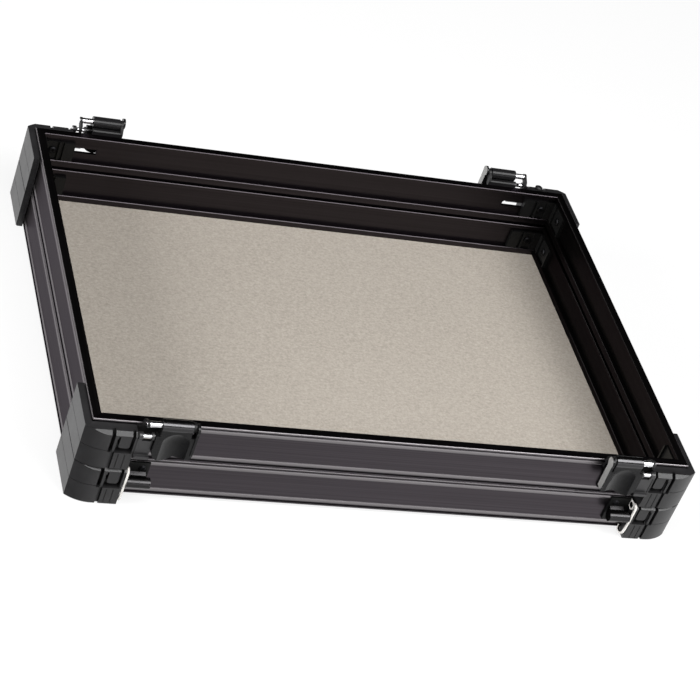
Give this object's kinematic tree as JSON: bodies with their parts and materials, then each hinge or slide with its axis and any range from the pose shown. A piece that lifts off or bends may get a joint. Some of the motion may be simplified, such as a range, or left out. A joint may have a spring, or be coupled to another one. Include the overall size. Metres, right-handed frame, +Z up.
{
  "type": "latching stackable tray module",
  "caption": "Shallow rectangular tray with aluminium extrusion walls in two levels, moulded corner blocks and side latches that clamp a matching tray on top.",
  "frame": {"origin": "bottom centre of the outside box, on the plane the corner blocks stand on", "axes": "+X along the long side, +Y to the back, +Z up out of the open top"},
  "size_m": [0.408, 0.3158, 0.0693],
  "materials": {
    "anodised_rail": "black anodised extrusion, satin",
    "corner_nylon": "moulded black nylon, fine spark texture",
    "key_nylon": "moulded black nylon",
    "base_board": "matt sheet",
    "liner_mat": "fine speckled mat",
    "latch_coated": "black coated steel",
    "lever_gloss": "satin-gloss black moulding",
    "pin_chrome": "polished",
    "catch_steel": "sheared edge, brushed",
    "screw_steel": "blackened steel"
  },
  "bodies": {
    "frame": {"upper_rail_front": "anodised_rail", "upper_rail_back": "anodised_rail", "upper_rail_left": "anodised_rail", "upper_rail_right": "anodised_rail", "lower_rail_front": "anodised_rail", "lower_rail_back": "anodised_rail", "lower_rail_left": "anodised_rail", "lower_rail_right": "anodised_rail", "upper_corner_fl": "corner_nylon", "upper_corner_fr": "corner_nylon", "upper_corner_bl": "corner_nylon", "upper_corner_br": "corner_nylon", "lower_corner_fl": "corner_nylon", "lower_corner_fr": "corner_nylon", "lower_corner_bl": "corner_nylon", "lower_corner_br": "corner_nylon", "upper_key_fl": "key_nylon", "upper_key_fr": "key_nylon", "upper_key_bl": "key_nylon", "upper_key_br": "key_nylon", "lower_key_fl": "key_nylon", "lower_key_fr": "key_nylon", "lower_key_bl": "key_nylon", "lower_key_br": "key_nylon", "base_panel": "base_board", "tray_liner": "liner_mat", "latch_base_fl": "latch_coated", "latch_base_fr": "latch_coated", "latch_base_bl": "latch_coated", "latch_base_br": "latch_coated", "lever_pins": "pin_chrome", "catch_plate_fl": "catch_steel", "catch_plate_fr": "catch_steel", "catch_plate_bl": "catch_steel", "catch_plate_br": "catch_steel", "catch_barrels": "corner_nylon", "key_screws": "screw_steel", "latch_rivets": "screw_steel", "catch_rivets": "screw_steel", "panel_screws": "screw_steel"},
    "lever_fl": {"lever_fl": "lever_gloss", "link_pin_fl": "pin_chrome"},
    "link_fl": {"link_fl": "latch_coated"},
    "lever_fr": {"lever_fr": "lever_gloss", "link_pin_fr": "pin_chrome"},
    "link_fr": {"link_fr": "latch_coated"},
    "lever_bl": {"lever_bl": "lever_gloss", "link_pin_bl": "pin_chrome"},
    "link_bl": {"link_bl": "latch_coated"},
    "lever_br": {"lever_br": "lever_gloss", "link_pin_br": "pin_chrome"},
    "link_br": {"link_br": "latch_coated"}
  },
  "joints": [
    {"name": "lever_fl_swing", "type": "hinge", "parent": "frame", "child": "lever_fl", "pos_m": [-0.148, -0.1524, 0.0654], "axis": [-1, 0, 0], "range_deg": [0, 135]},
    {"name": "link_fl_swing", "type": "hinge", "parent": "lever_fl", "child": "link_fl", "pos_m": [-0.1655, -0.1535, 0.0568], "axis": [-1, 0, 0], "range_deg": [0, 45]},
    {"name": "lever_fr_swing", "type": "hinge", "parent": "frame", "child": "lever_fr", "pos_m": [0.148, -0.1524, 0.0654], "axis": [-1, 0, 0], "range_deg": [0, 135]},
    {"name": "link_fr_swing", "type": "hinge", "parent": "lever_fr", "child": "link_fr", "pos_m": [0.1655, -0.1535, 0.0568], "axis": [-1, 0, 0], "range_deg": [0, 45]},
    {"name": "lever_bl_swing", "type": "hinge", "parent": "frame", "child": "lever_bl", "pos_m": [-0.148, 0.1524, 0.0654], "axis": [1, 0, 0], "range_deg": [0, 135]},
    {"name": "link_bl_swing", "type": "hinge", "parent": "lever_bl", "child": "link_bl", "pos_m": [-0.1655, 0.1535, 0.0568], "axis": [1, 0, 0], "range_deg": [0, 45]},
    {"name": "lever_br_swing", "type": "hinge", "parent": "frame", "child": "lever_br", "pos_m": [0.148, 0.1524, 0.0654], "axis": [1, 0, 0], "range_deg": [0, 135]},
    {"name": "link_br_swing", "type": "hinge", "parent": "lever_br", "child": "link_br", "pos_m": [0.1655, 0.1535, 0.0568], "axis": [1, 0, 0], "range_deg": [0, 45]}
  ],
  "couplings": [
    {"joint": "link_fl_swing", "follows": "lever_fl_swing", "ratio": 0.3333},
    {"joint": "link_fr_swing", "follows": "lever_fr_swing", "ratio": 0.3333},
    {"joint": "link_bl_swing", "follows": "lever_bl_swing", "ratio": 0.3333},
    {"joint": "link_br_swing", "follows": "lever_br_swing", "ratio": 0.3333}
  ]
}
